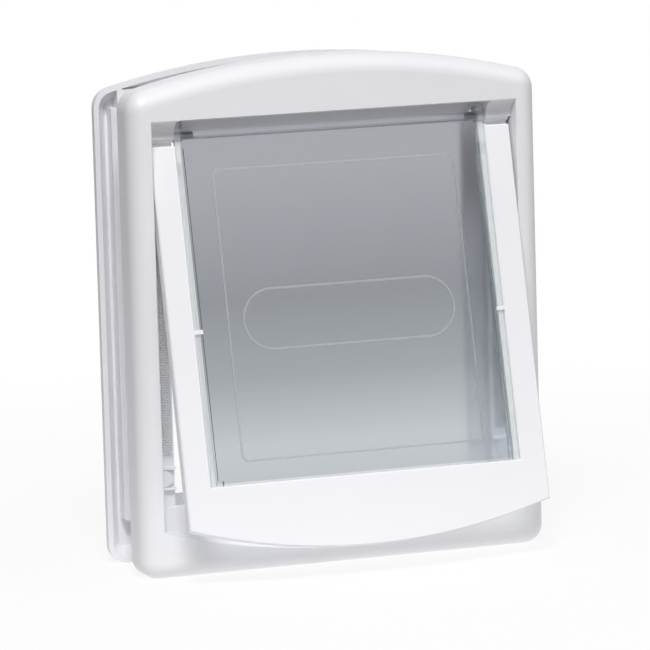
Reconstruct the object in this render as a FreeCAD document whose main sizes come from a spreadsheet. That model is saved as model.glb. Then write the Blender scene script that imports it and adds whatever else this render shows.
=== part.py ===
import FreeCAD, Part
import Sketcher
import math
import os
import re

# A two-way cat flap for a door. Millimetres, +Z up, the outdoor side towards -Y.
# The origin lies on the door's outer face, at the middle of the frame's bottom edge.
# Two moulded frames grip the door between them. The outer one carries the flap: a white
# surround on two hinge pins, and inside it a clear window that also swings on those pins.

SIZES = {
    "frame_width": 198.0,
    "frame_crown": 234.1,
    "arch_radius": 371.0,
    "top_corner": 9.7,
    "bottom_corner": 9.0,
    "front_round": 8.0,
    "shell_depth": 17.4,
    "wall": 2.4,
    "door_thickness": 33.5,
    "inner_crown_drop": 2.0,
    "inner_depth": 9.2,
    "inner_round": 7.0,
    "side_rail": 10.65,
    "head_rail": 25.7,
    "opening_low": 8.2,
    "opening_arc": 292.0,
    "opening_edge": 0.5,
    "flange_side": 10.35,
    "flange_head": 5.2,
    "throat_low": 31.0,
    "inner_flange_side": 7.05,
    "inner_throat_low": 30.0,
    "rib_inset": 0.8,
    "hinge_setback": 6.9,
    "hinge_drop": 7.6,
    "pin_diameter": 2.6,
    "pin_clearance": 0.06,
    "pin_reach": 9.5,
    "pin_boss": 3.4,
    "pin_boss_length": 2.0,
    "pin_end_gap": 0.5,
    "knuckle_radius": 2.9,
    "knuckle_gap": 0.4,
    "hood_width": 12.5,
    "hood_lip": 0.4,
    "hood_drop": 0.7,
    "hood_cove": 7.7,
    "rest_angle": 13.0,
    "flap_side_gap": 1.05,
    "flap_bottom_gap": 0.9,
    "surround_front": 2.7,
    "surround_thickness": 5.0,
    "surround_skin": 2.2,
    "surround_rim": 1.8,
    "surround_rib": 1.4,
    "edge_bevel": 0.6,
    "arm_width": 12.2,
    "neck_length": 4.8,
    "neck_front": 0.6,
    "neck_thickness": 2.3,
    "neck_overlap": 1.2,
    "window_low": 41.3,
    "window_gap": 0.35,
    "window_thickness": 2.4,
    "barrel_radius": 2.2,
    "end_knuckle": 4.4,
    "end_tab": 4.6,
    "lip_width": 2.35,
    "lip_depth": 5.3,
    "lip_start": 12.0,
    "groove_width": 1.3,
    "groove_depth": 1.0,
    "bottom_lip_depth": 2.0,
    "bottom_lip_end": 4.4,
    "panel_half": 58.5,
    "panel_head": 16.6,
    "panel_foot": 10.5,
    "panel_corner": 3.0,
    "pill_half": 51.0,
    "pill_radius": 13.7,
    "pill_drop": 85.7,
    "line_width": 0.9,
    "line_height": 0.25,
    "nib_reach": 3.7,
    "nib_height": 1.9,
    "nib_level": 111.4,
    "nib_gap": 0.3,
    "magnet_length": 30.0,
    "magnet_height": 8.0,
    "magnet_thickness": 1.4,
    "flap_magnet_thickness": 2.6,
    "flap_magnet_level": 24.8,
    "sill_strip_thickness": 1.9,
    "sill_magnet_height": 18.0,
    "seal_edge": 1.35,
    "seal_width": 8.0,
    "seal_thickness": 1.8,
    "seal_low": 55.0,
    "seal_head_gap": 6.8,
    "bolt_height": 7.8,
    "bolt_centre": 44.4,
    "bolt_thickness": 1.75,
    "bolt_reach": 8.65,
    "bolt_gap": 0.15,
    "slot_gap": 0.45,
    "bolt_stem_width": 2.0,
    "bolt_stem_height": 3.0,
    "bolt_grip_width": 3.8,
    "bolt_grip_depth": 4.0,
    "bolt_slot_length": 8.55,
    "ledge_height": 1.2,
    "ledge_reach": 2.2,
    "screw_inset": 18.0,
    "screw_low": 14.0,
    "screw_drop": 20.1,
    "screw_diameter": 3.5,
    "pilot_depth": 11.0,
    "screw_clearance": 0.2,
    "screw_boss": 10.4,
    "screw_bite": 9.0,
    "head_diameter": 6.8,
    "head_height": 2.8,
    "recess_diameter": 7.6,
    "cap_thickness": 1.6,
    "locating_pad_edge": 0.85,
    "locating_pad_width": 5.5,
    "locating_pad_low": 42.0,
    "locating_pad_high": 66.0,
    "locating_pad_height": 1.2,
}

doc = FreeCAD.newDocument("cat_flap")
sheet = doc.addObject("Spreadsheet::Sheet", "Sizes")
for row, (alias, number) in enumerate(SIZES.items(), start=1):
    sheet.set(f"A{row}", alias)
    sheet.set(f"B{row}", str(number))
    sheet.setAlias(f"B{row}", alias)
doc.recompute()

# Places that several pieces share, written as formulas on the sheet's names.
FRONT = "(-shell_depth)"
FLANGE_FACE = "(-wall)"
OPEN_HALF = "(frame_width / 2 - side_rail)"
OPEN_TOP = "(frame_crown - head_rail)"
OPEN_CENTRE = "(opening_low + opening_arc)"
THROAT_HALF = f"({OPEN_HALF} - flange_side)"
THROAT_TOP = f"({OPEN_TOP} - flange_head)"
HINGE_Y = "(-hinge_setback)"
HINGE_Z = f"({OPEN_TOP} - hinge_drop)"
FLAP_HALF = f"({OPEN_HALF} - flap_side_gap)"
ARM_IN = f"({FLAP_HALF} - arm_width)"
WINDOW_HALF = f"({ARM_IN} - window_gap)"
WINDOW_DROP = f"({HINGE_Z} - window_low)"
KNUCKLE_START = f"({ARM_IN} + 2 * knuckle_gap)"
SCREW_X = "(frame_width / 2 - screw_inset)"
SCREW_HIGH = "(frame_crown - screw_drop)"
SIDES = (("left", -1), ("right", 1))
ARM_CELLS = 4


def bind(formula):
    """The formula with each name of the sheet made a reference to its cell."""
    return re.sub(r"[a-z_]\w*", lambda m: "Sizes." + m[0] if m[0] in SIZES else m[0], str(formula))


def size(formula):
    """The formula's value in millimetres."""
    return float(sheet.evalExpression(bind(formula)))


def new_body(name):
    body = doc.addObject("PartDesign::Body", name)
    body.Label = name
    return body


def sketch(body, role, name, height="0"):
    """An empty sketch on one of the body's own planes, moved along the plane's normal."""
    plane = next(f for f in body.Origin.OriginFeatures if f.Role == role)
    item = body.newObject("Sketcher::SketchObject", name)
    item.AttachmentSupport = [(plane, "")]
    item.MapMode = "FlatFace"
    item.setExpression("AttachmentOffset.Base.z", bind(height))
    return item


def fix_point(item, geometry, end, x, y):
    """Ties one point of a sketch to the sheet, across and up."""
    for kind, formula in (("DistanceX", x), ("DistanceY", y)):
        number = item.addConstraint(Sketcher.Constraint(kind, -1, 1, geometry, end, size(formula)))
        item.setExpression(f"Constraints[{number}]", bind(formula))


def arc_between(start, stop, radius, inward):
    """The arc from start to stop whose middle lies to the right of the way, or to the left."""
    chord = stop - start
    left = FreeCAD.Vector(-chord.y, chord.x, 0).normalize()
    rise = math.sqrt(max(radius ** 2 - chord.Length ** 2 / 4, 0))
    centre = (start + stop) / 2 + left * (-rise if inward else rise)
    ends = (stop, start) if inward else (start, stop)
    angles = [math.atan2(point.y - centre.y, point.x - centre.x) for point in ends]
    return Part.ArcOfCircle(Part.Circle(centre, FreeCAD.Vector(0, 0, 1), radius), *angles)


def draw_loop(item, corners):
    """Draws a closed outline. A corner is (x, y), or (x, y, radius) where an arc leads on from it.

    A minus sign before the radius turns the arc's hollow side outwards. The word half makes
    the arc a half circle on the line to the next corner.
    """
    count = len(corners)
    points = [FreeCAD.Vector(size(corner[0]), size(corner[1]), 0) for corner in corners]
    first = item.GeometryCount
    ends = []
    for i, corner in enumerate(corners):
        start = points[i]
        stop = points[(i + 1) % count]
        if len(corner) == 2:
            item.addGeometry(Part.LineSegment(start, stop))
            ends.append((1, 2))
            continue
        inward = corner[2].startswith("-")
        half = corner[2].endswith("half")
        radius = (stop - start).Length / 2 if half else abs(size(corner[2]))
        item.addGeometry(arc_between(start, stop, radius, inward))
        ends.append((2, 1) if inward else (1, 2))
    for i, corner in enumerate(corners):
        here = first + i
        following = (i + 1) % count
        join = Sketcher.Constraint("Coincident", here, ends[i][1], first + following, ends[following][0])
        item.addConstraint(join)
        fix_point(item, here, ends[i][0], corner[0], corner[1])
        if len(corner) == 3 and corner[2].endswith("half"):
            fix_half_circle(item, here, corner, corners[following])
        elif len(corner) == 3:
            number = item.addConstraint(Sketcher.Constraint("Radius", here, abs(size(corner[2]))))
            item.setExpression(f"Constraints[{number}]", bind(f"abs({corner[2]})"))


def fix_half_circle(item, arc, start, stop):
    """Ties a half circle's centre to the line between its ends, which leaves it no freedom."""
    level = abs(size(f"({start[1]}) - ({stop[1]})")) < abs(size(f"({start[0]}) - ({stop[0]})"))
    kind, axis = ("DistanceY", 1) if level else ("DistanceX", 0)
    middle = f"(({start[axis]}) + ({stop[axis]})) / 2"
    number = item.addConstraint(Sketcher.Constraint(kind, -1, 1, arc, 3, size(middle)))
    item.setExpression(f"Constraints[{number}]", bind(middle))


def draw_box(item, x0, y0, x1, y1):
    draw_loop(item, [(x0, y0), (x1, y0), (x1, y1), (x0, y1)])


def draw_circle(item, x, y, radius):
    centre = FreeCAD.Vector(size(x), size(y), 0)
    number = item.addGeometry(Part.Circle(centre, FreeCAD.Vector(0, 0, 1), size(radius)))
    fix_point(item, number, 3, x, y)
    ring = item.addConstraint(Sketcher.Constraint("Radius", number, size(radius)))
    item.setExpression(f"Constraints[{ring}]", bind(radius))


def add(body, item, kind, length, reverse=False):
    """Pads or pockets a sketch of the body by a bound length."""
    feature = body.newObject("PartDesign::" + kind, f"{body.Name}_{kind.lower()}")
    feature.Profile = item
    feature.Reversed = reverse
    feature.setExpression("Length", bind(length))
    item.Visibility = False
    return feature


def hang(part):
    """Hangs a flap piece, modelled with the hinge axis at its origin, at its rest angle."""
    turn = FreeCAD.Rotation(FreeCAD.Vector(1, 0, 0), -size("rest_angle"))
    part.Placement = FreeCAD.Placement(FreeCAD.Vector(0, size(HINGE_Y), size(HINGE_Z)), turn)
    part.setExpression("Placement.Base.y", bind(HINGE_Y))
    part.setExpression("Placement.Base.z", bind(HINGE_Z))
    part.setExpression("Placement.Rotation.Angle", bind("-rest_angle * 1 deg"))


def block(name, x0, y0, z0, x1, y1, z1):
    """A box between two corners, each given by formulas."""
    item = doc.addObject("Part::Box", name)
    for side, low, high in (("Length", x0, x1), ("Width", y0, y1), ("Height", z0, z1)):
        item.setExpression(side, bind(f"({high}) - ({low})"))
    for axis, low in zip("xyz", (x0, y0, z0)):
        item.setExpression(f"Placement.Base.{axis}", bind(low))
    return item


def rod(name, axis, x, y, z, radius, length):
    """A cylinder that starts at a point and runs along +X or +Y."""
    item = doc.addObject("Part::Cylinder", name)
    turn = FreeCAD.Rotation(FreeCAD.Vector(0, 0, 1), FreeCAD.Vector(*axis))
    item.Placement = FreeCAD.Placement(FreeCAD.Vector(), turn)
    item.setExpression("Radius", bind(radius))
    item.setExpression("Height", bind(length))
    for letter, formula in zip("xyz", (x, y, z)):
        item.setExpression(f"Placement.Base.{letter}", bind(formula))
    return item


def fuse(name, items):
    union = doc.addObject("Part::MultiFuse", name)
    union.Shapes = items
    union.Refine = True
    union.Label = name
    return union


def cut(name, base, tools):
    """The base less all the tools."""
    item = doc.addObject("Part::Cut", name)
    item.Base = base
    item.Tool = tools[0] if len(tools) == 1 else fuse(name + "_tools", tools)
    item.Refine = True
    item.Label = name
    return item


def group(name, items):
    """Separate solids that share one node."""
    item = doc.addObject("Part::Compound", name)
    item.Links = items
    item.Label = name
    return item


def edges_on_plane(shape, axis, value):
    """Names of the edges that lie wholly in one plane across the axis."""
    names = []
    for number, edge in enumerate(shape.Edges, start=1):
        box = edge.BoundBox
        low, high = getattr(box, axis + "Min"), getattr(box, axis + "Max")
        if abs(low - value) < 0.01 and abs(high - value) < 0.01:
            names.append(f"Edge{number}")
    return names


def round_edges(body, base, names, radius, kind="Fillet"):
    feature = body.newObject("PartDesign::" + kind, f"{body.Name}_{kind.lower()}")
    feature.Base = (base, names)
    feature.setExpression("Radius" if kind == "Fillet" else "Size", bind(radius))
    return feature


# The two frames

def frame_outline(inset, crown):
    """The arched outline with its four rounded corners, moved inwards by the inset."""
    half = f"(frame_width / 2 - {inset})"
    arch = f"(arch_radius - {inset})"
    top = f"(top_corner - {inset})"
    low = f"(bottom_corner - {inset})"
    arch_centre = f"({crown} - arch_radius)"
    corner_x = f"({half} - {top})"
    rise = f"sqrt(({arch} - {top})^2 - {corner_x}^2)"
    touch_x = f"({corner_x} * {arch} / ({arch} - {top}))"
    touch_z = f"({arch_centre} + {rise} * {arch} / ({arch} - {top}))"
    side_z = f"({arch_centre} + {rise})"
    return [
        (f"-({half} - {low})", inset),
        (f"{half} - {low}", inset, low),
        (half, f"{inset} + {low}"),
        (half, side_z, top),
        (touch_x, touch_z, arch),
        (f"-{touch_x}", touch_z, top),
        (f"-{half}", side_z),
        (f"-{half}", f"{inset} + {low}", low),
    ]


def opening_outline(grow, top):
    """The opening: straight sides and top, and a bottom edge that sags in one wide arc."""
    half = f"({OPEN_HALF} + {grow})"
    arc = f"(opening_arc + {grow})"
    corner = f"({OPEN_CENTRE} - sqrt({arc}^2 - {half}^2))"
    head = f"({top} + {grow})"
    return [(f"-{half}", corner, arc), (half, corner), (half, head), (f"-{half}", head)]


def opening_edges(shape, depth):
    """The upright and top edges of the opening on the front face."""
    reach = size(OPEN_HALF) + 0.01
    names = []
    for name in edges_on_plane(shape, "Y", -depth):
        box = shape.getElement(name).BoundBox
        if max(-box.XMin, box.XMax) < reach and box.ZMax > size("throat_low"):
            names.append(name)
    return names


def screw_points():
    return [(x, z) for z in ("screw_low", SCREW_HIGH) for x in (SCREW_X, f"-{SCREW_X}")]


def frame_shell(name, crown, depth, radius, throat_half, throat_low):
    """The outside of the moulding, its opening, and the flange inside the opening's rear edge."""
    body = new_body(name)
    outline = sketch(body, "XZ_Plane", name + "_outline")
    draw_loop(outline, frame_outline("0", crown))
    pad = add(body, outline, "Pad", depth)
    doc.recompute()
    round_edges(body, pad, edges_on_plane(pad.Shape, "Y", -size(depth)), radius)
    opening = sketch(body, "XZ_Plane", name + "_opening", "wall")
    draw_loop(opening, opening_outline("0", OPEN_TOP))
    pocket = add(body, opening, "Pocket", depth, reverse=True)
    doc.recompute()
    round_edges(body, pocket, opening_edges(pocket.Shape, size(depth)), "opening_edge", "Chamfer")
    throat = sketch(body, "XZ_Plane", name + "_throat")
    draw_box(throat, f"-{throat_half}", throat_low, throat_half, THROAT_TOP)
    add(body, throat, "Pocket", depth, reverse=True)
    return body


def frame_hollow(name, crown, depth, radius):
    """The space inside the moulding, which leaves walls, two upright ribs and four screw bosses."""
    body = new_body(name)
    body.AllowCompound = True
    outline = sketch(body, "XZ_Plane", name + "_outline")
    draw_loop(outline, frame_outline("wall", crown))
    pad = add(body, outline, "Pad", f"{depth} - wall")
    doc.recompute()
    round_edges(body, pad, edges_on_plane(pad.Shape, "Y", size("wall") - size(depth)), radius, "Chamfer")
    kept = sketch(body, "XZ_Plane", name + "_collar")
    draw_loop(kept, opening_outline("wall", OPEN_TOP))
    add(body, kept, "Pocket", depth, reverse=True)
    ribs = sketch(body, "XZ_Plane", name + "_ribs")
    near, far = f"({OPEN_HALF} - rib_inset)", f"({OPEN_HALF} - rib_inset - wall)"
    draw_box(ribs, far, OPEN_TOP, near, "frame_crown")
    draw_box(ribs, f"-{near}", OPEN_TOP, f"-{far}", "frame_crown")
    add(body, ribs, "Pocket", depth, reverse=True)
    bosses = sketch(body, "XZ_Plane", name + "_bosses")
    for x, z in screw_points():
        draw_box(bosses, f"{x} - screw_boss / 2", f"{z} - screw_boss / 2",
                 f"{x} + screw_boss / 2", f"{z} + screw_boss / 2")
    add(body, bosses, "Pocket", depth, reverse=True)
    return body


def moulded_frame(name, crown, depth, radius, throat_half, throat_low):
    shell = frame_shell(name + "_shell", crown, depth, radius, throat_half, throat_low)
    hollow = frame_hollow(name + "_hollow", crown, depth, f"({radius} - wall)")
    return cut(name + "_moulding", shell, [hollow])


def mirrored(sign, near, far):
    """The same span on the left or right side, lower end first."""
    return (f"-({far})", f"-({near})") if sign < 0 else (near, far)


def exterior_frame():
    """The outdoor frame, with seats for the hinge pins, the lock bolts and the screws."""
    moulding = moulded_frame("exterior", "frame_crown", "shell_depth", "front_round",
                             THROAT_HALF, "throat_low")
    added, holes = [], []
    below = "(bolt_centre - bolt_height / 2 - bolt_gap)"
    above = "(bolt_centre + bolt_height / 2 + bolt_gap)"
    ledges = {"low": (f"{below} - ledge_height", below), "high": (above, f"{above} + ledge_height")}
    for side, sign in SIDES:
        start, stop = mirrored(sign, OPEN_HALF, f"{OPEN_HALF} + wall + pin_boss_length")
        length = f"({stop}) - ({start})"
        near = (start, f"{HINGE_Y} - pin_boss", f"{HINGE_Z} - pin_boss")
        far = (stop, f"{HINGE_Y} + pin_boss", f"{HINGE_Z} + pin_boss")
        added.append(block(f"pin_boss_{side}", *near, *far))
        holes.append(rod(f"pin_bore_{side}", (1, 0, 0), start, HINGE_Y, HINGE_Z, "pin_diameter / 2", length))
        start, stop = mirrored(sign, THROAT_HALF, OPEN_HALF)
        for level, (low, high) in ledges.items():
            ledge = block(f"{side}_{level}_ledge", start, "-wall - ledge_reach", low, stop, "-wall", high)
            added.append(ledge)
        start, stop = mirrored(sign, f"{OPEN_HALF} - bolt_slot_length", OPEN_HALF)
        holes.append(block(f"{side}_bolt_slot", start, "-wall",
                           "bolt_centre - bolt_stem_height / 2 - bolt_gap", stop, "wall",
                           "bolt_centre + bolt_stem_height / 2 + bolt_gap"))
    for number, (x, z) in enumerate(screw_points(), start=1):
        holes.append(rod(f"pilot_{number}", (0, 1, 0), x, "-pilot_depth", z,
                         "screw_diameter / 2", "pilot_depth"))
    body = fuse("exterior_frame_solid", [moulding] + added)
    return cut("exterior_frame", body, holes)


def interior_frame():
    """The indoor frame, a shallower moulding turned round, with a recess for each screw head."""
    crown = "(frame_crown - inner_crown_drop)"
    throat_half = f"({OPEN_HALF} - inner_flange_side)"
    moulding = moulded_frame("interior", crown, "inner_depth", "inner_round",
                             throat_half, "inner_throat_low")
    pads, holes = [], []
    for side, sign in SIDES:
        start, stop = mirrored(sign, f"{OPEN_HALF} - locating_pad_edge - locating_pad_width",
                               f"{OPEN_HALF} - locating_pad_edge")
        pads.append(block(f"{side}_pad", start, "-wall / 2", "locating_pad_low", stop, "locating_pad_height",
                          "locating_pad_high"))
    for number, (x, z) in enumerate(screw_points(), start=1):
        holes.append(rod(f"shank_hole_{number}", (0, 1, 0), x, "cap_thickness - inner_depth", z,
                         "screw_diameter / 2 + screw_clearance", "inner_depth"))
        holes.append(rod(f"head_recess_{number}", (0, 1, 0), x, "-inner_depth - wall", z,
                         "recess_diameter / 2", "wall + cap_thickness + head_height"))
    body = fuse("interior_frame_solid", [moulding] + pads)
    frame = cut("interior_frame", body, holes)
    frame.Placement = FreeCAD.Placement(FreeCAD.Vector(), FreeCAD.Rotation(FreeCAD.Vector(0, 0, 1), 180))
    frame.setExpression("Placement.Base.y", bind("door_thickness"))
    return frame


# The hinge

def hinge_hood(side, sign):
    """The corner block over one hinge knuckle: a cove in front, a round hollow beneath."""
    name = "hinge_hood_" + side
    body = new_body(name)
    start, stop = mirrored(sign, f"{OPEN_HALF} - hood_width", OPEN_HALF)
    profile = sketch(body, "YZ_Plane", name + "_profile", start)
    hollow = "(knuckle_radius + knuckle_gap)"
    lip = f"({HINGE_Z} - hood_drop)"
    draw_loop(profile, [
        (FRONT, OPEN_TOP, "-hood_cove"),
        (f"{HINGE_Y} - {hollow} - hood_lip", lip),
        (f"{HINGE_Y} - {hollow}", lip),
        (f"{HINGE_Y} - {hollow}", HINGE_Z, "-half"),
        (f"{HINGE_Y} + {hollow}", HINGE_Z),
        (f"{HINGE_Y} + {hollow}", lip),
        (FLANGE_FACE, lip),
        (FLANGE_FACE, OPEN_TOP),
    ])
    add(body, profile, "Pad", "hood_width")
    return body


def hinge_pin(side, sign):
    name = "hinge_pin_" + side
    body = new_body(name)
    start, stop = mirrored(sign, f"{KNUCKLE_START} - pin_reach", f"{OPEN_HALF} + wall + pin_boss_length")
    section = sketch(body, "YZ_Plane", name + "_section", start)
    draw_circle(section, HINGE_Y, HINGE_Z, "pin_diameter / 2")
    add(body, section, "Pad", f"({stop}) - ({start})")
    return body


# The flap, drawn hanging straight down from its hinge axis at the origin

SURROUND_BACK = "(surround_front - surround_thickness)"
ARC_CENTRE = f"({OPEN_CENTRE} - {HINGE_Z})"


def surround_foot(inset, x):
    """Height of the surround's arched foot at a distance from the middle, moved up by the inset."""
    return f"({ARC_CENTRE} - sqrt((opening_arc - flap_bottom_gap - {inset})^2 - ({x})^2))"


def surround_plate(body):
    """The U shaped plate with its front edges broken by a small bevel."""
    corner = surround_foot("0", FLAP_HALF)
    plate = sketch(body, "XZ_Plane", "surround_outline", SURROUND_BACK)
    draw_loop(plate, [
        (f"-{FLAP_HALF}", corner, "opening_arc - flap_bottom_gap"),
        (FLAP_HALF, corner),
        (FLAP_HALF, "-neck_length"),
        (ARM_IN, "-neck_length"),
        (ARM_IN, f"-{WINDOW_DROP}"),
        (f"-{ARM_IN}", f"-{WINDOW_DROP}"),
        (f"-{ARM_IN}", "-neck_length"),
        (f"-{FLAP_HALF}", "-neck_length"),
    ])
    pad = add(body, plate, "Pad", "surround_thickness")
    doc.recompute()
    round_edges(body, pad, edges_on_plane(pad.Shape, "Y", -size("surround_front")), "edge_bevel", "Chamfer")


def surround_cells(body):
    """Hollows in the back of the plate, which leave a skin, a rim and stiffening ribs."""
    cells = sketch(body, "XZ_Plane", "surround_cells", SURROUND_BACK)
    head = "(-neck_length - surround_rim)"
    foot = f"(-{WINDOW_DROP})"
    pitch = f"(({head} - {foot} + surround_rib) / {ARM_CELLS})"
    inner = f"({ARM_IN} + surround_rim)"
    outer = f"({FLAP_HALF} - surround_rim)"
    block_edge = "(magnet_length / 2 + surround_rim)"
    middle = f"(({block_edge} + {outer}) / 2)"
    stations = [(block_edge, f"{middle} - surround_rib / 2"), (f"{middle} + surround_rib / 2", outer)]
    for _, sign in SIDES:
        left, right = mirrored(sign, inner, outer)
        for number in range(ARM_CELLS):
            low = f"{foot} + {number} * {pitch}"
            draw_box(cells, left, low, right, f"{low} + {pitch} - surround_rib")
        for near, far in stations:
            left, right = mirrored(sign, near, far)
            top = f"{foot} - surround_rim"
            draw_loop(cells, [
                (left, surround_foot("surround_rim", left), "opening_arc - flap_bottom_gap - surround_rim"),
                (right, surround_foot("surround_rim", right)),
                (right, top),
                (left, top),
            ])
    add(body, cells, "Pocket", "surround_thickness - surround_skin", reverse=True)


def flap_surround():
    """The white surround: its plate, and at each side a neck, a knuckle and a nib for the window."""
    body = new_body("flap_surround")
    surround_plate(body)
    surround_cells(body)
    for side, sign in SIDES:
        start, stop = mirrored(sign, KNUCKLE_START, FLAP_HALF)
        neck = sketch(body, "XZ_Plane", f"surround_neck_{side}", "-neck_front - neck_thickness")
        draw_box(neck, start, "-neck_length - neck_overlap", stop, "0")
        add(body, neck, "Pad", "neck_thickness")
        knuckle = sketch(body, "YZ_Plane", f"surround_knuckle_{side}", start)
        draw_circle(knuckle, "0", "0", "knuckle_radius")
        add(body, knuckle, "Pad", f"{FLAP_HALF} - {KNUCKLE_START}")
        start, stop = mirrored(sign, f"{ARM_IN} - nib_reach", f"{ARM_IN} + edge_bevel")
        nib = sketch(body, "XZ_Plane", f"surround_nib_{side}", "window_thickness / 2 + nib_gap")
        level = f"(nib_level - {HINGE_Z})"
        draw_box(nib, start, f"{level} - nib_height / 2", stop, f"{level} + nib_height / 2")
        add(body, nib, "Pad", "surround_front - window_thickness / 2 - nib_gap")
    pocket = sketch(body, "XZ_Plane", "surround_magnet_pocket", SURROUND_BACK)
    level = f"(flap_magnet_level - {HINGE_Z})"
    draw_box(pocket, "-magnet_length / 2", f"{level} - magnet_height / 2",
             "magnet_length / 2", f"{level} + magnet_height / 2")
    add(body, pocket, "Pocket", "flap_magnet_thickness", reverse=True)
    bore = sketch(body, "YZ_Plane", "surround_bore", f"-{FLAP_HALF}")
    draw_circle(bore, "0", "0", "pin_diameter / 2 + pin_clearance")
    add(body, bore, "Pocket", f"2 * {FLAP_HALF}", reverse=True)
    hang(body)
    return body


def raised_line(body, name, outline):
    """A thin moulded line on the window's front face. The outline is a function of its inset."""
    line = sketch(body, "XZ_Plane", name, "window_thickness / 2")
    draw_loop(line, outline("-line_width / 2"))
    draw_loop(line, outline("line_width / 2"))
    add(body, line, "Pad", "line_height")


def panel_outline(inset):
    """The upright line that frames the pane, a little inside its edges."""
    half = f"(panel_half - {inset})"
    high = f"(-panel_head - {inset})"
    low = f"(panel_foot - {WINDOW_DROP} + {inset})"
    radius = f"(panel_corner - {inset})"
    return [
        (f"{radius} - {half}", low),
        (f"{half} - {radius}", low, radius),
        (half, f"{low} + {radius}"),
        (half, f"{high} - {radius}", radius),
        (f"{half} - {radius}", high),
        (f"{radius} - {half}", high, radius),
        (f"-{half}", f"{high} - {radius}"),
        (f"-{half}", f"{low} + {radius}", radius),
    ]


def pill_outline(inset):
    """The long rounded line across the middle of the pane, bare inside."""
    radius = f"(pill_radius - {inset})"
    end = "(pill_half - pill_radius)"
    return [
        (f"-{end}", f"-pill_drop - {radius}"),
        (end, f"-pill_drop - {radius}", "half"),
        (end, f"-pill_drop + {radius}"),
        (f"-{end}", f"-pill_drop + {radius}", "half"),
    ]


def window_lip(body, side, sign):
    """One side of the pane: its rearward lip, cut out to pass the lock bolt, and the groove by it."""
    bottom = f"(window_gap - {WINDOW_DROP})"
    face = "(window_thickness / 2)"
    bolt_front = f"({FLANGE_FACE} - bolt_gap - bolt_thickness - {HINGE_Y} - slot_gap)"
    bolt_back = f"({FLANGE_FACE} - bolt_gap - {HINGE_Y} + slot_gap)"
    slot_top = f"(bolt_centre + bolt_height / 2 + slot_gap - {HINGE_Z})"
    start, stop = mirrored(sign, f"{WINDOW_HALF} - lip_width", WINDOW_HALF)
    lip = sketch(body, "YZ_Plane", f"window_lip_{side}", start)
    draw_loop(lip, [
        ("0", bottom),
        (bolt_front, bottom),
        (bolt_front, slot_top),
        (bolt_back, slot_top),
        (bolt_back, bottom),
        (f"{face} + lip_depth", bottom),
        (f"{face} + lip_depth", "-lip_start - lip_depth"),
        (face, "-lip_start"),
        ("0", "-lip_start"),
    ])
    add(body, lip, "Pad", "lip_width")
    start, stop = mirrored(sign, f"{WINDOW_HALF} - lip_width - groove_width", f"{WINDOW_HALF} - lip_width")
    groove = sketch(body, "XZ_Plane", f"window_groove_{side}", face)
    draw_box(groove, start, f"{bottom} + lip_width", stop, "-lip_start / 2")
    add(body, groove, "Pocket", "groove_depth")


def window_knuckle(body, side, sign, knuckle_in):
    start, stop = mirrored(sign, knuckle_in, f"{knuckle_in} + end_knuckle")
    knuckle = sketch(body, "YZ_Plane", f"window_knuckle_{side}", start)
    draw_circle(knuckle, "0", "0", "knuckle_radius")
    add(body, knuckle, "Pad", "end_knuckle")
    tab = sketch(body, "YZ_Plane", f"window_tab_{side}", start)
    draw_box(tab, "-window_thickness / 2", "0", "window_thickness / 2", "end_tab")
    add(body, tab, "Pad", "end_knuckle")


def flap_window():
    """The clear window: pane, rolled top edge, knuckles, lips and the raised lines on its face."""
    body = new_body("flap_window")
    bottom = f"(window_gap - {WINDOW_DROP})"
    knuckle_end = f"({KNUCKLE_START} - knuckle_gap)"
    knuckle_in = f"({knuckle_end} - end_knuckle)"
    pane = sketch(body, "XZ_Plane", "window_outline", "-window_thickness / 2")
    draw_box(pane, f"-{WINDOW_HALF}", bottom, WINDOW_HALF, "-barrel_radius / 2")
    add(body, pane, "Pad", "window_thickness")
    barrel = sketch(body, "YZ_Plane", "window_barrel", f"-{knuckle_in}")
    draw_circle(barrel, "0", "0", "barrel_radius")
    add(body, barrel, "Pad", f"2 * {knuckle_in}")
    for side, sign in SIDES:
        window_knuckle(body, side, sign, knuckle_in)
        window_lip(body, side, sign)
    foot_half = f"({WINDOW_HALF} - lip_width - bottom_lip_end)"
    foot = sketch(body, "XZ_Plane", "window_bottom_lip", "-window_thickness / 2 - bottom_lip_depth")
    draw_box(foot, f"-{foot_half}", bottom, foot_half, f"{bottom} + lip_width")
    add(body, foot, "Pad", "bottom_lip_depth + window_thickness / 2")
    raised_line(body, "window_panel_line", panel_outline)
    raised_line(body, "window_pill_line", pill_outline)
    for side, sign in SIDES:
        start, stop = mirrored(sign, f"{KNUCKLE_START} - pin_reach - pin_end_gap", knuckle_end)
        bore = sketch(body, "YZ_Plane", f"window_bore_{side}", start)
        draw_circle(bore, "0", "0", "pin_diameter / 2 + pin_clearance")
        add(body, bore, "Pocket", f"({stop}) - ({start})", reverse=True)
    hang(body)
    return body


def flap_magnet():
    level = f"(flap_magnet_level - {HINGE_Z})"
    magnet = block("flap_magnet_bar", "-magnet_length / 2", f"-{SURROUND_BACK} - flap_magnet_thickness",
                   f"{level} - magnet_height / 2", "magnet_length / 2", f"-{SURROUND_BACK}",
                   f"{level} + magnet_height / 2")
    holder = group("flap_magnet", [magnet])
    hang(holder)
    return holder


# What the outer frame carries behind the flap

def sill_strip():
    body = new_body("sill_strip")
    outline = sketch(body, "XZ_Plane", "sill_outline", "wall")
    draw_loop(outline, opening_outline("0", "throat_low"))
    add(body, outline, "Pad", "sill_strip_thickness")
    pocket = sketch(body, "XZ_Plane", "sill_magnet_pocket", "wall")
    draw_box(pocket, "-magnet_length / 2", "sill_magnet_height - magnet_height / 2",
             "magnet_length / 2", "sill_magnet_height + magnet_height / 2")
    add(body, pocket, "Pocket", "magnet_thickness", reverse=True)
    return body


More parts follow.
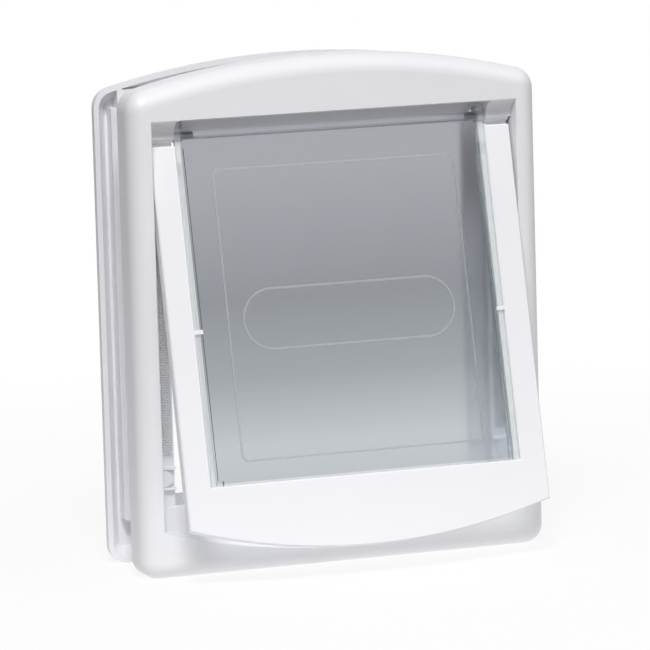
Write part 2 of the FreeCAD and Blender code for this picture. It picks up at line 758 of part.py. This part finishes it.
def sill_magnet():
    return block("sill_magnet", "-magnet_length / 2", "-wall - magnet_thickness",
                 "sill_magnet_height - magnet_height / 2", "magnet_length / 2", "-wall",
                 "sill_magnet_height + magnet_height / 2")


def draught_seal(side, sign):
    start, stop = mirrored(sign, f"{OPEN_HALF} - seal_edge - seal_width", f"{OPEN_HALF} - seal_edge")
    top = f"{HINGE_Z} - seal_head_gap"
    return block("draught_seal_" + side, start, "-wall - seal_thickness", "seal_low", stop, "-wall", top)


def lock_bolt(side, sign):
    """A flat bolt in front of the flange, its stem in the slot and its finger grip behind."""
    name = "lock_bolt_" + side
    body = new_body(name)
    radius = "bolt_height / 2"
    outer = f"({OPEN_HALF} - bolt_gap)"
    shoulder = f"({OPEN_HALF} - bolt_reach + {radius})"
    low, high = f"(bolt_centre - {radius})", f"(bolt_centre + {radius})"
    plate = sketch(body, "XZ_Plane", name + "_plate", "wall + bolt_gap")
    if sign > 0:
        loop = [(shoulder, low), (outer, low), (outer, high), (shoulder, high, "half")]
    else:
        nose = (f"-{shoulder}", low, "half")
        loop = [(f"-{outer}", low), nose, (f"-{shoulder}", high), (f"-{outer}", high)]
    draw_loop(plate, loop)
    add(body, plate, "Pad", "bolt_thickness")
    stem = sketch(body, "XZ_Plane", name + "_stem", "-bolt_gap")
    start, stop = mirrored(sign, f"{outer} - bolt_stem_width", outer)
    draw_box(stem, start, "bolt_centre - bolt_stem_height / 2", stop, "bolt_centre + bolt_stem_height / 2")
    add(body, stem, "Pad", "wall + 2 * bolt_gap")
    grip = sketch(body, "XZ_Plane", name + "_grip", "-bolt_gap - bolt_grip_depth")
    start, stop = mirrored(sign, f"{outer} - bolt_grip_width", outer)
    draw_box(grip, start, low, stop, high)
    add(body, grip, "Pad", "bolt_grip_depth")
    return body


# Fasteners, each kind a group of four

def frame_screws():
    screws = []
    seat = "(door_thickness + inner_depth - cap_thickness - head_height)"
    for number, (x, z) in enumerate(screw_points(), start=1):
        shank = rod(f"shank_{number}", (0, 1, 0), x, "-screw_bite", z, "screw_diameter / 2",
                    f"{seat} + screw_bite")
        head = rod(f"head_{number}", (0, 1, 0), x, seat, z, "head_diameter / 2", "head_height")
        screws.append(fuse(f"screw_{number}", [shank, head]))
    return group("frame_screws", screws)


def screw_caps():
    caps = []
    for number, (x, z) in enumerate(screw_points(), start=1):
        caps.append(rod(f"cap_{number}", (0, 1, 0), x, "door_thickness + inner_depth - cap_thickness", z,
                        "recess_diameter / 2", "cap_thickness"))
    return group("screw_caps", caps)


parts = [exterior_frame(), interior_frame(), flap_surround(), flap_window(), flap_magnet()]
parts += [sill_strip(), sill_magnet(), frame_screws(), screw_caps()]
for side, sign in SIDES:
    parts += [hinge_hood(side, sign), hinge_pin(side, sign), draught_seal(side, sign), lock_bolt(side, sign)]
doc.recompute()

for item in doc.Objects:
    if {"Invalid", "Error"} & set(item.State):
        raise RuntimeError(f"{item.Label} failed: {item.State}")
for item in parts:
    if item.Shape.isNull() or not item.Shape.isValid():
        raise RuntimeError(f"{item.Label} has no valid solid")

os.makedirs("parts", exist_ok=True)
for item in parts:
    item.Shape.exportStep(f"parts/{item.Label}.step")
    box = item.Shape.optimalBoundingBox()
    print(f"{item.Label}: {len(item.Shape.Solids)} solid, {item.Shape.Volume / 1000:.2f} cm3, "
          f"{box.XLength:.1f} x {box.YLength:.1f} x {box.ZLength:.1f}")
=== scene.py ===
# %% [markdown]
# A two-way cat flap for a door, seen from outdoors. Two arched frames of white moulded
# plastic grip the door between them. A white surround hangs in the outer frame on two
# pins and stands a little open, and a clear window hangs inside the surround.
# The solids come from the CAD frame at their real size, so this file makes finishes,
# fine detail, the light and the camera. Lengths are in metres.

# %% Load the frame
import bpy
import bmesh
import math
from mathutils import Matrix, Vector, noise


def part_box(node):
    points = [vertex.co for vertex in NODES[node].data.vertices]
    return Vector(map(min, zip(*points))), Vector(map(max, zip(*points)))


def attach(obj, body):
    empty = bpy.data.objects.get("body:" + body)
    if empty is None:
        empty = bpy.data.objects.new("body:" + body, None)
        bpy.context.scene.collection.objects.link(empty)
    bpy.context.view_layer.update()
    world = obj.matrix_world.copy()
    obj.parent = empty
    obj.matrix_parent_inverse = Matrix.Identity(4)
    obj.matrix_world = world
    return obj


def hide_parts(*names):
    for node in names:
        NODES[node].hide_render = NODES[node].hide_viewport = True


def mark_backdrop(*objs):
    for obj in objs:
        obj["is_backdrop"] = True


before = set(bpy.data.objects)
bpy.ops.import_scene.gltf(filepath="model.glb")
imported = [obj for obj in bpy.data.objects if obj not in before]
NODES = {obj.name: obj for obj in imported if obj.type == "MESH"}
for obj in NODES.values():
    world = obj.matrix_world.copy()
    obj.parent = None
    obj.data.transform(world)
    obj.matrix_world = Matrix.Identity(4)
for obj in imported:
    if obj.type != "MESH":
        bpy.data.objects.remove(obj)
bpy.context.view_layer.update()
MM = 0.001

# %% [markdown]
# Every finish below is a small tree of nodes. Colours are written as the hex values a
# designer would pick on screen, so one function turns them to the linear values that
# the shader wants, and one function adds a node with its settings and its links.

# %% Colour and node helpers
def linear(hex_colour):
    channels = [int(hex_colour[i:i + 2], 16) / 255 for i in (1, 3, 5)]
    return [c / 12.92 if c <= 0.04045 else ((c + 0.055) / 1.055) ** 2.4 for c in channels] + [1.0]


def add(tree, kind, settings=None, **links):
    """Adds a node: settings are its properties, links its sockets' values or sources."""
    node = tree.nodes.new(kind)
    for name, value in (settings or {}).items():
        setattr(node, name, value)
    for name, value in links.items():
        key = int(name[1:]) if name[1:].isdigit() else name.replace("_", " ")
        socket = node.inputs[key]
        if isinstance(value, bpy.types.NodeSocket):
            tree.links.new(value, socket)
        else:
            socket.default_value = value
    return node


def new_material(name):
    material = bpy.data.materials.new(name)
    material.use_nodes = True
    tree = material.node_tree
    tree.nodes.clear()
    return material, tree


def noise_texture(tree, place, size, detail):
    """Noise on the object's own coordinates, its features about the given size."""
    return add(tree, "ShaderNodeTexNoise", Vector=place.outputs["Object"], Scale=1 / size,
               Detail=detail)


def finish_surface(tree, shader):
    output = add(tree, "ShaderNodeOutputMaterial")
    tree.links.new(shader.outputs[0], output.inputs["Surface"])


print("red of #808080 in linear light", round(linear("#808080")[0], 3))

# %% [markdown]
# The frames and the surround are injection moulded ABS in a cool white. The tool was
# lightly etched, so the plastic is satin: it shows broad soft highlights, and close up
# a grain of about a third of a millimetre. A second, much larger noise stands for the
# slow waves that a moulding takes as it cools, which keep a big flat face from looking
# drawn.

# %% White moulded ABS
GRAIN = 0.35 * MM
SINK_WAVE = 40 * MM
GRAIN_DEPTH = 0.02 * MM
WAVE_DEPTH = 0.05 * MM
GLOSS_SPREAD = 0.05
ABS_IOR = 1.5


def moulded_abs(name, colour, deep, roughness):
    material, tree = new_material(name)
    place = add(tree, "ShaderNodeTexCoord")
    grain = noise_texture(tree, place, GRAIN, 2.0)
    wave = noise_texture(tree, place, SINK_WAVE, 1.0)
    shade = add(tree, "ShaderNodeMix", {"data_type": "RGBA"}, Factor=wave.outputs["Fac"])
    shade.inputs[6].default_value = linear(colour)
    shade.inputs[7].default_value = linear(deep)
    gloss = add(tree, "ShaderNodeMapRange", Value=grain.outputs["Fac"],
                To_Min=roughness - GLOSS_SPREAD, To_Max=roughness + GLOSS_SPREAD)
    skin = add(tree, "ShaderNodeBump", Height=grain.outputs["Fac"], Strength=0.12,
               Distance=GRAIN_DEPTH)
    body = add(tree, "ShaderNodeBump", Height=wave.outputs["Fac"], Strength=0.2,
               Distance=WAVE_DEPTH, Normal=skin.outputs["Normal"])
    plastic = add(tree, "ShaderNodeBsdfPrincipled", Base_Color=shade.outputs[2],
                  Roughness=gloss.outputs[0], IOR=ABS_IOR, Normal=body.outputs["Normal"])
    finish_surface(tree, plastic)
    return material


frame_abs = moulded_abs("ABS_white_satin", "#ededf0", "#e9e9ec", 0.42)
surround_abs = moulded_abs("ABS_white_flap", "#f1f1f4", "#eeeef1", 0.4)
print("moulded", frame_abs.name, surround_abs.name)

# %% [markdown]
# The window is clear acrylic. Its grey is painted shade: darkest in the middle of the pane
# and paler towards its foot, it stands in for the shaded studio sweep seen through the
# pane, so it looks grey before a white ground. Its face has a light mould haze, so what is
# behind it looks soft while its own edges stay crisp. Two raised lines run round the pane
# and round the long plate in its middle, and their tops were left matt by the tool; their
# grey is close to the same painted shade. They are told from the pane by their height above
# it, measured square to the open flap. The thick lips at the sides are paler and milkier
# than the pane, and the foot of the pane is paler too, a painted highlight for light caught
# in the thick edges. A thin line beside each lip is darker and greener, painted shade in the
# groove there. The rolled top edge is rougher than the pane. Rays from the lamps pass the
# window as if through thin clear film, because light bent by real acrylic takes too many
# samples to settle.

# %% Clear acrylic
REST_ANGLE = math.radians(13)
PANE_FACE = 1.2 * MM
LINE_TOP = 0.25 * MM
LIP_WIDTH = 2.35 * MM
GROOVE_WIDTH = 0.5 * MM
BARREL_RADIUS = 2.2 * MM
pin_low, pin_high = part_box("hinge_pin_left")
HINGE = (pin_low + pin_high) / 2
OUTWARD = Vector((0, -math.cos(REST_ANGLE), math.sin(REST_ANGLE)))
DOWNWARD = Vector((0, -math.sin(REST_ANGLE), -math.cos(REST_ANGLE)))
PANE_HALF = 74.75 * MM
PANE_DROP = 159.15 * MM
# Width of the foot strip of the pane that takes the painted highlight of the thick edges.
PAINTED_FOOT_HIGHLIGHT = 1.0 * MM
PLATE_HALF = 55 * MM
UNDER_BARREL = 10 * MM
RIPPLE = 18 * MM
ACRYLIC_IOR = 1.49
PANE_ROUGH_LOW, PANE_ROUGH_HIGH = 0.12, 0.17
BARREL_ROUGH = 0.35
MATT_ROUGH = 0.5
PLATE_VEIL = 0.3
LINE_VEIL = 0.14
# How milky the lips are veiled, part of their painted highlight.
LIP_MILK = 0.55
# Painted shade: the pane's grey from head to foot stands in for the shaded studio sweep seen
# through it.
PAINTED_SHADE_HEAD, PAINTED_SHADE_MIDDLE = "#a2a5ab", "#8c9096"
PAINTED_SHADE_LOW, PAINTED_SHADE_FOOT = "#9da3a8", "#c3c8cd"


def math_node(tree, operation, first, second):
    return add(tree, "ShaderNodeMath", {"operation": operation}, _0=first, _1=second)


def distance_along(tree, place, direction):
    """How far a point lies from the hinge axis, measured in one direction."""
    dot = add(tree, "ShaderNodeVectorMath", {"operation": "DOT_PRODUCT"},
              _0=place.outputs["Object"], _1=direction)
    return math_node(tree, "SUBTRACT", dot.outputs["Value"], HINGE.dot(direction))


def over(tree, value, limit):
    """1 where the value is above the limit, and 0 elsewhere."""
    return math_node(tree, "GREATER_THAN", value.outputs[0], limit)


def clear_acrylic():
    material, tree = new_material("Acrylic_clear_painted_shade")
    place = add(tree, "ShaderNodeTexCoord")
    ripple = noise_texture(tree, place, RIPPLE, 1.0)
    bump = add(tree, "ShaderNodeBump", Height=ripple.outputs["Fac"], Strength=0.1,
               Distance=0.05 * MM)
    height = distance_along(tree, place, OUTWARD)
    drop = distance_along(tree, place, DOWNWARD)
    side = add(tree, "ShaderNodeSeparateXYZ", Vector=place.outputs["Object"])
    side = add(tree, "ShaderNodeMath", {"operation": "ABSOLUTE"}, _0=side.outputs["X"])

    raised = over(tree, height, PANE_FACE + LINE_TOP / 2)
    below = over(tree, drop, UNDER_BARREL)
    matt = math_node(tree, "MULTIPLY", raised.outputs[0], below.outputs[0])
    outer = over(tree, side, PLATE_HALF)
    foot = over(tree, drop, PANE_DROP - PAINTED_FOOT_HIGHLIGHT)
    flank = over(tree, side, PANE_HALF - LIP_WIDTH)
    edge_highlight = math_node(tree, "MAXIMUM", foot.outputs[0], flank.outputs[0])
    # Painted shade: a thin darker, greener line in the groove beside each lip.
    before_groove = over(tree, side, PANE_HALF - LIP_WIDTH - GROOVE_WIDTH)
    groove_shade = math_node(tree, "SUBTRACT", before_groove.outputs[0], flank.outputs[0])

    gloss = add(tree, "ShaderNodeMapRange", Value=ripple.outputs["Fac"], To_Min=PANE_ROUGH_LOW,
                To_Max=PANE_ROUGH_HIGH)
    pane = over(tree, drop, BARREL_RADIUS)
    rolled = add(tree, "ShaderNodeMix", Factor=pane.outputs[0], A=BARREL_ROUGH,
                 B=gloss.outputs[0])
    rough = add(tree, "ShaderNodeMix", Factor=matt.outputs[0], A=rolled.outputs[0], B=MATT_ROUGH)
    down = add(tree, "ShaderNodeMapRange", Value=drop.outputs[0], From_Max=PANE_DROP)
    # Painted shade: this grey ramp down the pane stands in for the backdrop seen through it.
    painted_shade_ramp = add(tree, "ShaderNodeValToRGB", Fac=down.outputs[0])
    stops = painted_shade_ramp.color_ramp.elements
    stops[0].position, stops[0].color = 0.12, linear(PAINTED_SHADE_HEAD)
    stops[1].position, stops[1].color = 0.9, linear(PAINTED_SHADE_FOOT)
    stops.new(0.48).color = linear(PAINTED_SHADE_MIDDLE)
    stops.new(0.7).color = linear(PAINTED_SHADE_LOW)
    # Painted highlight: a paler colour on the lips and the foot of the pane, for light caught in
    # the thick edges.
    tint = add(tree, "ShaderNodeMix", {"data_type": "RGBA"}, Factor=edge_highlight.outputs[0])
    tree.links.new(painted_shade_ramp.outputs["Color"], tint.inputs[6])
    tint.inputs[7].default_value = linear("#dde1e2")
    # Painted shade in the groove beside each lip.
    line = add(tree, "ShaderNodeMix", {"data_type": "RGBA"}, Factor=groove_shade.outputs[0])
    tree.links.new(tint.outputs[2], line.inputs[6])
    line.inputs[7].default_value = linear("#a3acad")
    # The matt tops of the raised lines take a grey close to the pane's painted shade.
    shade = add(tree, "ShaderNodeMix", {"data_type": "RGBA"}, Factor=matt.outputs[0])
    tree.links.new(line.outputs[2], shade.inputs[6])
    shade.inputs[7].default_value = linear("#adb1b6")
    veil = add(tree, "ShaderNodeMapRange", Value=outer.outputs[0], To_Min=PLATE_VEIL,
               To_Max=LINE_VEIL)
    hidden = math_node(tree, "MULTIPLY", matt.outputs[0], veil.outputs[0])
    # The milky veil on the lips belongs to the same painted highlight.
    lip_highlight_veil = math_node(tree, "MULTIPLY", flank.outputs[0], LIP_MILK)
    veiled = math_node(tree, "MAXIMUM", lip_highlight_veil.outputs[0], hidden.outputs[0])
    see = math_node(tree, "SUBTRACT", 1.0, veiled.outputs[0])
    plastic = add(tree, "ShaderNodeBsdfPrincipled", Base_Color=shade.outputs[2],
                  Roughness=rough.outputs[0], IOR=ACRYLIC_IOR, Normal=bump.outputs["Normal"],
                  Transmission_Weight=see.outputs[0])
    clear = add(tree, "ShaderNodeBsdfTransparent", Color=linear("#f3f3f3"))
    ray = add(tree, "ShaderNodeLightPath")
    passing = add(tree, "ShaderNodeMixShader", Fac=ray.outputs["Is Shadow Ray"],
                  _1=plastic.outputs[0], _2=clear.outputs[0])
    finish_surface(tree, passing)
    return material


window_acrylic = clear_acrylic()
print("acrylic nodes", len(window_acrylic.node_tree.nodes))

# %% [markdown]
# Steel, magnets and the draught seals hardly show, but each still has its own finish:
# drawn steel whose zinc plating is blotched in patches of about a millimetre, sintered
# ferrite with a fine grit for the magnets, and short pale grey polypropylene pile for
# the seals.

# %% Steel, ferrite and pile
def drawn_steel():
    material, tree = new_material("Steel_zinc_plated")
    place = add(tree, "ShaderNodeTexCoord")
    blotch = noise_texture(tree, place, 1.5 * MM, 3.0)
    gloss = add(tree, "ShaderNodeMapRange", Value=blotch.outputs["Fac"], To_Min=0.4, To_Max=0.55)
    steel = add(tree, "ShaderNodeBsdfPrincipled", Base_Color=linear("#e6e7e9"), Metallic=1.0,
                Roughness=gloss.outputs[0])
    finish_surface(tree, steel)
    return material


def ferrite():
    material, tree = new_material("Ferrite_sintered")
    place = add(tree, "ShaderNodeTexCoord")
    grit = noise_texture(tree, place, 0.5 * MM, 4.0)
    bump = add(tree, "ShaderNodeBump", Height=grit.outputs["Fac"], Strength=0.3, Distance=0.05 * MM)
    stone = add(tree, "ShaderNodeBsdfPrincipled", Base_Color=linear("#3a3a3d"), Roughness=0.6,
                Normal=bump.outputs["Normal"])
    finish_surface(tree, stone)
    return material


def pile_strip():
    material, tree = new_material("Polypropylene_pile_grey")
    place = add(tree, "ShaderNodeTexCoord")
    fibre = noise_texture(tree, place, 0.4 * MM, 3.0)
    shade = add(tree, "ShaderNodeMix", {"data_type": "RGBA"}, Factor=fibre.outputs["Fac"])
    shade.inputs[6].default_value = linear("#dcdcdf")
    shade.inputs[7].default_value = linear("#ececee")
    bump = add(tree, "ShaderNodeBump", Height=fibre.outputs["Fac"], Strength=0.6, Distance=0.3 * MM)
    pile = add(tree, "ShaderNodeBsdfPrincipled", Base_Color=shade.outputs[2], Roughness=0.9,
               Normal=bump.outputs["Normal"])
    pile.inputs["Sheen Weight"].default_value = 0.3
    finish_surface(tree, pile)
    return material


steel = drawn_steel()
magnet_ferrite = ferrite()
pile = pile_strip()
print("finishes", steel.name, magnet_ferrite.name, pile.name)

# %% [markdown]
# Each piece of the CAD frame now takes its finish. Everything moulded is white plastic,
# with the surround a shade lighter than the frames.

# %% Give each CAD piece its finish
FINISH = {
    frame_abs: ("exterior_frame", "interior_frame", "sill_strip", "screw_caps",
                "hinge_hood_left", "hinge_hood_right", "lock_bolt_left", "lock_bolt_right"),
    surround_abs: ("flap_surround",),
    window_acrylic: ("flap_window",),
    magnet_ferrite: ("flap_magnet", "sill_magnet"),
    steel: ("hinge_pin_left", "hinge_pin_right", "frame_screws"),
    pile: ("draught_seal_left", "draught_seal_right"),
}
for material, names in FINISH.items():
    for name in names:
        for slot in NODES[name].material_slots:
            slot.material = material
print("finishes on", sum(map(len, FINISH.values())), "pieces")

# %% [markdown]
# The draught seals are pile weatherstrip: short upright fibres woven into a stiff tape,
# which the tape's back glues to the flange. Each tuft here is a small leaning spike with
# four sides, a little over a millimetre high, drawn coarser than real pile so that it
# shows. The tufts and their tape fill the room that the solid seal has.

# %% Draught seals
TAPE = 0.5 * MM
TUFT_PITCH = 1.15 * MM
TUFT_ROOT = 0.5 * MM
TUFT_TIP = 0.16 * MM
TUFT_LEAN = 0.3
TUFT_SHARE = 0.92
TUFT_CENTRE = 0.48
LEAN_SCALE = 700


def add_block(mesh, low, high):
    place = Matrix.Translation((low + high) / 2) @ Matrix.Diagonal((*(high - low), 1.0))
    bmesh.ops.create_cube(mesh, size=1.0, matrix=place)


def new_object(name, mesh, material):
    data = bpy.data.meshes.new(name)
    mesh.to_mesh(data)
    mesh.free()
    data.materials.append(material)
    made = bpy.data.objects.new(name, data)
    bpy.context.scene.collection.objects.link(made)
    return made


def draught_seal(side):
    low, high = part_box(f"draught_seal_{side}")
    mesh = bmesh.new()
    tape_low = Vector((low.x, high.y - TAPE, low.z))
    add_block(mesh, tape_low, high)
    height = high.y - low.y - TAPE
    across = int((high.x - low.x - 2 * TUFT_ROOT) / TUFT_PITCH) + 1
    along = int((high.z - low.z - 2 * TUFT_ROOT) / TUFT_PITCH) + 1
    start_x = (low.x + high.x - (across - 1) * TUFT_PITCH) / 2
    start_z = (low.z + high.z - (along - 1) * TUFT_PITCH) / 2
    for column in range(across):
        for row in range(along):
            root = Vector((start_x + column * TUFT_PITCH, tape_low.y - TUFT_CENTRE * height,
                           start_z + row * TUFT_PITCH))
            lean = noise.noise_vector(root * LEAN_SCALE) * TUFT_LEAN
            turn = Matrix.Rotation(math.pi / 2 + lean.x, 4, "X") @ Matrix.Rotation(lean.y, 4, "Y")
            bmesh.ops.create_cone(mesh, cap_ends=True, segments=4, radius1=TUFT_ROOT,
                                  radius2=TUFT_TIP, depth=TUFT_SHARE * height,
                                  matrix=Matrix.Translation(root) @ turn)
    bmesh.ops.recalc_face_normals(mesh, faces=mesh.faces[:])
    seal = new_object(f"pile_{side}", mesh, pile)
    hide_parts(f"draught_seal_{side}")
    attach(seal, "frame")
    return across * along


print("tufts", draught_seal("left"), draught_seal("right"))

# %% [markdown]
# Under the head of the opening runs a low rib, moulded on the flange just behind the
# window's rolled edge. It stops wind and light at the gap over that edge, and the window
# still clears it wherever it swings. A block drawn out to its length and softened along
# its edges makes it.

# %% Rib behind the rolled edge
RIB_HALF = 70.0 * MM
RIB_FOOT = 202.3 * MM
RIB_HEAD = 207.6 * MM
RIB_FRONT = -4.3 * MM
FLANGE_FACE = -2.4 * MM
RIB_ROUND = 0.3 * MM


def head_rib():
    low = Vector((-RIB_HALF, RIB_FRONT, RIB_FOOT))
    high = Vector((RIB_HALF, FLANGE_FACE, RIB_HEAD))
    mesh = bmesh.new()
    add_block(mesh, low, high)
    bmesh.ops.bevel(mesh, geom=mesh.edges[:], offset=RIB_ROUND, segments=3, profile=0.5,
                    material=-1, affect="EDGES")
    rib = new_object("head_rib", mesh, frame_abs)
    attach(rib, "frame")
    return rib


print("rib faces", len(head_rib().data.polygons))

# %% [markdown]
# The floor is a wide flat sheet of pale paper, and the world behind it is as white. Seen
# straight by the camera it is plain white with a trace of the object's shadow near its
# foot. It glows softly round the object, as lit paper does, which lifts the lower edges of
# the frame. Metal and the window show white too, so the pane's grey is painted shade in
# the acrylic's colour.

# %% Floor
FLOOR_HALF = 6.0
GLOW_FROM, GLOW_TO, GLOW_STRENGTH = 0.12, 0.6, 0.96
SHADOW_FROM, SHADOW_TO, SHADOW_SHARE = 0.15, 0.6, 0.12


def studio_floor():
    mesh = bmesh.new()
    bmesh.ops.create_grid(mesh, x_segments=1, y_segments=1, size=FLOOR_HALF)
    material, tree = new_material("Paper_sweep")
    place = add(tree, "ShaderNodeTexCoord")
    reach = add(tree, "ShaderNodeVectorMath", {"operation": "LENGTH"}, _0=place.outputs["Object"])
    near = add(tree, "ShaderNodeMapRange", Value=reach.outputs["Value"], From_Min=GLOW_FROM,
               From_Max=GLOW_TO, To_Min=GLOW_STRENGTH, To_Max=0.0)
    shadow_share = add(tree, "ShaderNodeMapRange", Value=reach.outputs["Value"],
                       From_Min=SHADOW_FROM, From_Max=SHADOW_TO, To_Min=SHADOW_SHARE, To_Max=0.0)
    glow = add(tree, "ShaderNodeEmission", Color=linear("#fbfbfc"), Strength=near.outputs[0])
    white = add(tree, "ShaderNodeEmission", Color=(1, 1, 1, 1), Strength=1.0)
    paper = add(tree, "ShaderNodeBsdfDiffuse", Color=linear("#fafafa"))
    seen = add(tree, "ShaderNodeMixShader", Fac=shadow_share.outputs[0], _1=white.outputs[0],
               _2=paper.outputs[0])
    ray = add(tree, "ShaderNodeLightPath")
    look = add(tree, "ShaderNodeMixShader", Fac=ray.outputs["Is Glossy Ray"], _1=glow.outputs[0],
               _2=white.outputs[0])
    for kind in ("Is Camera Ray", "Is Transmission Ray"):
        look = add(tree, "ShaderNodeMixShader", Fac=ray.outputs[kind], _1=look.outputs[0],
                   _2=seen.outputs[0])
    finish_surface(tree, look)
    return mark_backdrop(new_object("floor", mesh, material))


studio_floor()

# %% [markdown]
# The lamps copy a product shot. Two fairly small lamps stand side by side, high in front
# and a little to the left, and throw the head rail's shadow on the hinge. A broad weak
# lamp on the right and one low in front soften it. The world adds a faint even light, and
# shows white to the camera, to metal and through the window, as the floor does.

# %% Light
LAMPS = {
    "key": ((-0.45, -1.3, 1.7), 0.5, 20.2),
    "left": ((-0.7, -1.2, 1.7), 0.5, 14.5),
    "right": ((1.2, -0.9, 1.5), 1.2, 7.2),
    "front": ((0, -2.2, 0.9), 1.0, 3.6),
}
LIT_POINT = Vector((0, 0, 0.12))


def area_light(name, place, size, power):
    data = bpy.data.lights.new(name, "AREA")
    data.shape = "DISK"
    data.size = size
    data.energy = power
    lamp = bpy.data.objects.new(name, data)
    lamp.location = place
    lamp.rotation_euler = (LIT_POINT - Vector(place)).to_track_quat("-Z", "Y").to_euler()
    bpy.context.scene.collection.objects.link(lamp)


for name, (place, size, power) in LAMPS.items():
    area_light(name, place, size, power)
print("lamps", len(bpy.data.lights))

world = bpy.data.worlds.new("studio")
world.use_nodes = True
bpy.context.scene.world = world
sky = world.node_tree
sky.nodes.clear()
ray = add(sky, "ShaderNodeLightPath")
dim = add(sky, "ShaderNodeBackground", Color=linear("#e9ecf2"), Strength=0.09)
bright = add(sky, "ShaderNodeBackground", Color=(1, 1, 1, 1), Strength=1.0)
shown = math_node(sky, "MAXIMUM", ray.outputs["Is Camera Ray"], ray.outputs["Is Transmission Ray"])
shown = math_node(sky, "MAXIMUM", shown.outputs[0], ray.outputs["Is Glossy Ray"])
mix = add(sky, "ShaderNodeMixShader", Fac=shown.outputs[0])
sky.links.new(dim.outputs[0], mix.inputs[1])
sky.links.new(bright.outputs[0], mix.inputs[2])
out = add(sky, "ShaderNodeOutputWorld")
sky.links.new(mix.outputs[0], out.inputs["Surface"])

# %% [markdown]
# The camera was fitted to the photo: a long lens about 2.3 metres away, to the left of the
# object and a little above it, with a slight roll.

# %% Camera
AZIMUTH, ELEVATION, ROLL = math.radians(20.38), math.radians(8.18), math.radians(1.638)
CAMERA_DISTANCE = 2.3362
AIM = Vector((-0.0010, 0.0026, 0.1080))
FOCAL_PIXELS, PICTURE_PIXELS, SENSOR = 5079.85, 650, 36.0
back = Vector((-math.sin(AZIMUTH) * math.cos(ELEVATION), -math.cos(AZIMUTH) * math.cos(ELEVATION),
               math.sin(ELEVATION)))
right = (-back).cross(Vector((0, 0, 1))).normalized()
up = right.cross(-back)
tilt_right = math.cos(ROLL) * right - math.sin(ROLL) * up
tilt_up = math.sin(ROLL) * right + math.cos(ROLL) * up
lens = bpy.data.cameras.new("camera")
lens.sensor_width = SENSOR
lens.lens = FOCAL_PIXELS / PICTURE_PIXELS * SENSOR
lens.clip_end = 20
camera = bpy.data.objects.new("camera", lens)
camera.matrix_world = Matrix((tilt_right, tilt_up, back)).transposed().to_4x4()
camera.location = AIM + CAMERA_DISTANCE * back
bpy.context.scene.collection.objects.link(camera)
bpy.context.scene.camera = camera
bpy.context.scene.view_settings.view_transform = "Standard"
print("lens", round(lens.lens, 1), "mm")
